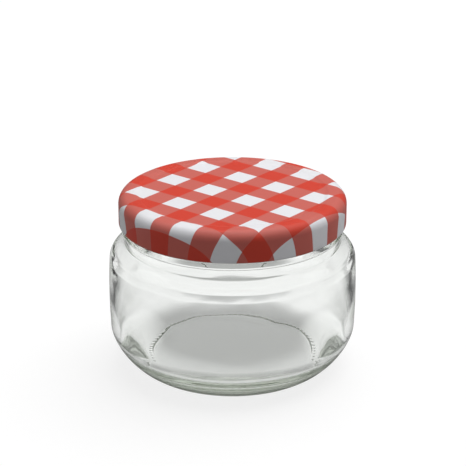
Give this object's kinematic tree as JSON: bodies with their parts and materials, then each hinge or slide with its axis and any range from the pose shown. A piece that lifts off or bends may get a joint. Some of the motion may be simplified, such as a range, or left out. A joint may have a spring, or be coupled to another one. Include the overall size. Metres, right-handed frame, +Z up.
{
  "type": "screw-top glass jar",
  "caption": "Squat round clear-glass jar, empty, with a rounded heel and shoulder, shut with a pressed metal twist-off lid in a red and white check.",
  "frame": {"origin": "middle of the bearing ring that the jar stands on", "axes": "+Z up along the jar's axis, towards the lid; the picture looks along +Y, slightly down"},
  "size_m": [0.0932, 0.0932, 0.0681],
  "materials": {
    "clear_glass": "smooth clear soda-lime glass with a faint green-grey tint",
    "checked_tinplate": "gloss lacquered tinplate printed with a red and white check, white inside"
  },
  "bodies": {
    "root": {"jar": "clear_glass", "lid": "checked_tinplate"}
  },
  "joints": []
}
